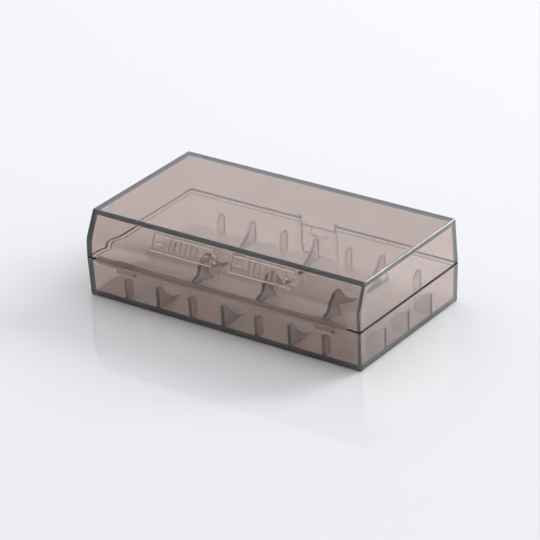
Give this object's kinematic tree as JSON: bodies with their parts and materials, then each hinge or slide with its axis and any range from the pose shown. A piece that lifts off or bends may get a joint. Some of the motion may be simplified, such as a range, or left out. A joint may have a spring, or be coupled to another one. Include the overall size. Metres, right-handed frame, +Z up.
{
  "type": "battery storage case",
  "caption": "Shallow clear smoke-tinted case with a ribbed tray, a lid on a folded thin-web hinge along one long side and a snap tab opposite.",
  "frame": {"origin": "middle of the flat underside", "axes": "+X along the case, +Y from the hinge side to the latch side, +Z up"},
  "size_m": [0.076, 0.0417, 0.021],
  "materials": {
    "smoke_clear_plastic": "clear grey-brown tint, polished moulded surface"
  },
  "bodies": {
    "tray": {"tray": "smoke_clear_plastic", "living_hinge": "smoke_clear_plastic"},
    "lid": {"lid": "smoke_clear_plastic"}
  },
  "joints": [
    {"name": "lid_hinge", "type": "hinge", "parent": "tray", "child": "lid", "pos_m": [0, -0.0213, 0.00996], "axis": [1, 0, 0], "range_deg": [0, 180], "deforming": ["living_hinge"]}
  ]
}
